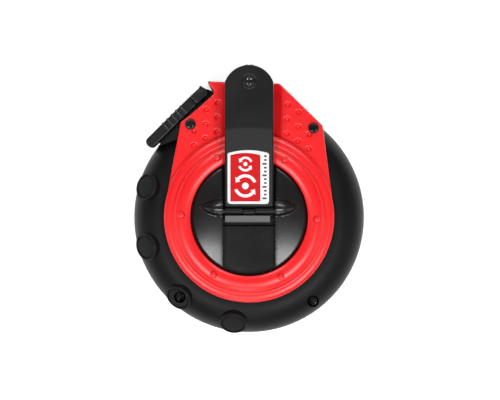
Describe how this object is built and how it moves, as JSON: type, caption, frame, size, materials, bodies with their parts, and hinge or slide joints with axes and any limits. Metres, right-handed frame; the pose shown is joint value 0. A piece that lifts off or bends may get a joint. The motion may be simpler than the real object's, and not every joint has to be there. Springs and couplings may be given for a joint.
{
  "type": "chalk line reel",
  "caption": "Round geared chalk line reel with a red ringed face, a folding crank arm across the hub, a slotted mouth at the top and a ribbed filler hatch on one shoulder.",
  "frame": {"origin": "on the drum's axis at the flat back face", "axes": "+Z out of the red face along the drum's axis, +Y towards the mouth, the reel lying on its back"},
  "size_m": [0.115, 0.134, 0.0595],
  "materials": {
    "case_black": "satin black moulded plastic with a fine texture",
    "plate_red": "glossy red moulded plastic",
    "hub_black": "glossy black moulded plastic",
    "arm_black": "satin black moulded plastic",
    "hatch_black": "black plastic with moulded ribs",
    "label_print": "white film with a red field and plain arrows",
    "pad_rubber": "soft black rubber",
    "screw_black": "black oxide steel",
    "rivet_black": "black painted steel",
    "steel": "ground steel rod",
    "gear_white": "natural moulded nylon",
    "spool_grey": "grey moulded plastic",
    "line_cotton": "wound braided cotton line, dusted with chalk",
    "felt": "pressed wool felt",
    "brass": "turned brass eyelet"
  },
  "bodies": {
    "root": {"rear_case": "case_black", "front_case": "case_black", "face_plate": "plate_red", "grip_pad_1": "pad_rubber", "grip_pad_2": "pad_rubber", "grip_pad_3": "pad_rubber", "grip_pad_4": "pad_rubber", "case_screws": "screw_black", "plate_screws": "screw_black", "hatch_pin": "steel", "mouth_ferrule": "brass", "felt_wiper": "felt", "axle": "steel", "carrier_plate": "spool_grey", "carrier_screws": "steel", "planet_pins": "steel", "gear_seal": "felt"},
    "crank": {"crank_hub": "hub_black", "ring_gear": "gear_white", "hinge_pin": "steel"},
    "arm": {"crank_arm": "arm_black", "arm_label": "label_print", "knob_rivet": "rivet_black"},
    "grip_knob": {"knob": "arm_black"},
    "spool_body": {"spool": "spool_grey", "sun_gear": "gear_white", "line_winding": "line_cotton"},
    "planet_1": {"planet_gear_1": "gear_white"},
    "planet_2": {"planet_gear_2": "gear_white"},
    "planet_3": {"planet_gear_3": "gear_white"},
    "hatch": {"filler_hatch": "hatch_black", "hatch_gasket": "pad_rubber"}
  },
  "joints": [
    {"name": "crank_spin", "type": "hinge", "parent": "root", "child": "crank", "pos_m": [0, 0, 0.045], "axis": [0, 0, 1], "continuous": true},
    {"name": "arm_fold", "type": "hinge", "parent": "crank", "child": "arm", "pos_m": [-0.00009, 0.003, 0.051], "axis": [0.9995, 0.0314, 0], "range_deg": [0, 160]},
    {"name": "knob_spin", "type": "hinge", "parent": "arm", "child": "grip_knob", "pos_m": [-0.00211, 0.06702, 0.05], "axis": [0, 0, 1], "continuous": true},
    {"name": "spool_spin", "type": "hinge", "parent": "root", "child": "spool_body", "pos_m": [0, 0, 0.015], "axis": [0, 0, 1], "continuous": true},
    {"name": "hatch_swing", "type": "hinge", "parent": "root", "child": "hatch", "pos_m": [-0.02586, 0.06109, 0.026], "axis": [0, 0, -1], "range_deg": [0, 75]},
    {"name": "planet_1_spin", "type": "hinge", "parent": "root", "child": "planet_1", "pos_m": [0.0162, 0, 0.034], "axis": [0, 0, 1], "continuous": true},
    {"name": "planet_2_spin", "type": "hinge", "parent": "root", "child": "planet_2", "pos_m": [-0.0081, 0.01403, 0.034], "axis": [0, 0, 1], "continuous": true},
    {"name": "planet_3_spin", "type": "hinge", "parent": "root", "child": "planet_3", "pos_m": [-0.0081, -0.01403, 0.034], "axis": [0, 0, 1], "continuous": true}
  ],
  "couplings": [
    {"joint": "spool_spin", "follows": "crank_spin", "ratio": -3},
    {"joint": "planet_1_spin", "follows": "crank_spin", "ratio": 3},
    {"joint": "planet_2_spin", "follows": "crank_spin", "ratio": 3},
    {"joint": "planet_3_spin", "follows": "crank_spin", "ratio": 3}
  ]
}
